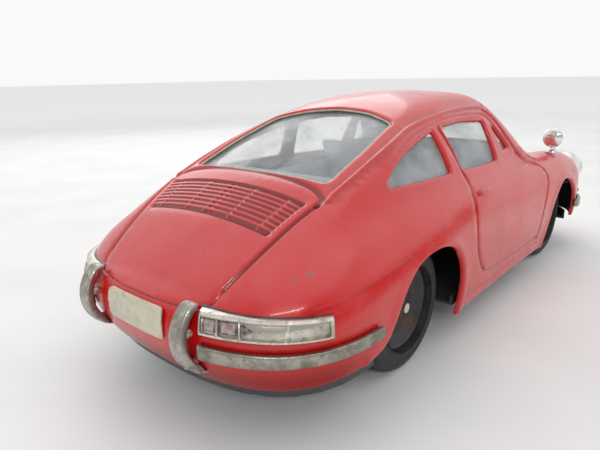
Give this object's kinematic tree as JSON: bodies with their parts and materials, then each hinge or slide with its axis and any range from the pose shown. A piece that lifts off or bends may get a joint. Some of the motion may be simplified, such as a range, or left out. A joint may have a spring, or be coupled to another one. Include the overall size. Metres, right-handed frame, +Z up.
{
  "type": "friction tin car",
  "caption": "Pressed-tin friction toy coupe with a fastback body, clear windows, plated bumpers and a geared flywheel motor on its rear axle.",
  "frame": {"origin": "on the floor under the middle of the car's bounding box", "axes": "+X to the nose, +Y to the car's left, +Z up"},
  "size_m": [0.2589, 0.1, 0.0806],
  "materials": {
    "red_enamel": "gloss enamel, faded",
    "underside_tin": "satin",
    "window_plastic": "clear, slightly hazed",
    "interior_tin": "satin",
    "seat_tin": "satin",
    "dark_plastic": "matte",
    "tarnished_chrome": "tarnished",
    "bright_chrome": "bright",
    "lamp_metal": "worn silvered",
    "cream_plate": "satin",
    "lamp_lens": "clear",
    "amber_lens": "gloss",
    "bare_tin": "plain",
    "axle_brass": "dull",
    "axle_steel": "plain",
    "tyre_rubber": "dull",
    "hub_dark": "satin, rust tint",
    "gear_steel": "plain",
    "pinion_brass": "plain",
    "flywheel_iron": "rough"
  },
  "bodies": {
    "root": {"body_shell": "red_enamel", "base_plate": "underside_tin", "windscreen": "window_plastic", "rear_window": "window_plastic", "side_window_left": "window_plastic", "side_window_right": "window_plastic", "interior_tray": "interior_tin", "front_seat_left": "seat_tin", "front_seat_right": "seat_tin", "rear_bench": "seat_tin", "dashboard": "interior_tin", "steering_wheel": "dark_plastic", "rear_bumper_left": "tarnished_chrome", "rear_bumper_right": "tarnished_chrome", "rear_overrider_left": "tarnished_chrome", "rear_overrider_right": "tarnished_chrome", "tail_lamp_left": "lamp_metal", "tail_lamp_right": "lamp_metal", "number_plate": "cream_plate", "front_bumper": "tarnished_chrome", "front_overriders": "tarnished_chrome", "headlamp_rim_left": "bright_chrome", "headlamp_rim_right": "bright_chrome", "headlamp_lens_left": "lamp_lens", "headlamp_lens_right": "lamp_lens", "front_indicators": "amber_lens", "fender_mirror_left": "bright_chrome", "fender_mirror_right": "bright_chrome", "body_tabs": "red_enamel", "motor_frame_left": "bare_tin", "motor_frame_right": "bare_tin", "motor_spacers": "bare_tin", "motor_rivets": "bare_tin", "front_axle_brackets": "bare_tin"},
    "front_axle_set": {"front_axle": "axle_steel", "front_tyre_left": "tyre_rubber", "front_tyre_right": "tyre_rubber", "front_hub_left": "hub_dark", "front_hub_right": "hub_dark", "front_cap_left": "bright_chrome", "front_cap_right": "bright_chrome"},
    "rear_axle_set": {"rear_axle": "axle_brass", "rear_tyre_left": "tyre_rubber", "rear_tyre_right": "tyre_rubber", "rear_hub_left": "hub_dark", "rear_hub_right": "hub_dark", "drive_gear": "gear_steel"},
    "idler": {"idler_shaft": "axle_steel", "idler_pinion": "pinion_brass", "idler_gear": "gear_steel"},
    "flywheel_set": {"flywheel_shaft": "axle_steel", "flywheel_pinion": "pinion_brass", "flywheel": "flywheel_iron"}
  },
  "joints": [
    {"name": "rear_axle_spin", "type": "hinge", "parent": "root", "child": "rear_axle_set", "pos_m": [-0.0605, 0, 0.02], "axis": [0, 1, 0], "continuous": true},
    {"name": "front_axle_spin", "type": "hinge", "parent": "root", "child": "front_axle_set", "pos_m": [0.0735, 0, 0.02], "axis": [0, 1, 0], "continuous": true},
    {"name": "idler_spin", "type": "hinge", "parent": "root", "child": "idler", "pos_m": [-0.04803, 0, 0.0272], "axis": [0, 1, 0], "continuous": true},
    {"name": "flywheel_spin", "type": "hinge", "parent": "root", "child": "flywheel_set", "pos_m": [-0.03363, 0, 0.0272], "axis": [0, 1, 0], "continuous": true}
  ],
  "couplings": [
    {"joint": "idler_spin", "follows": "flywheel_spin", "ratio": -0.33333},
    {"joint": "rear_axle_spin", "follows": "flywheel_spin", "ratio": 0.11111}
  ]
}
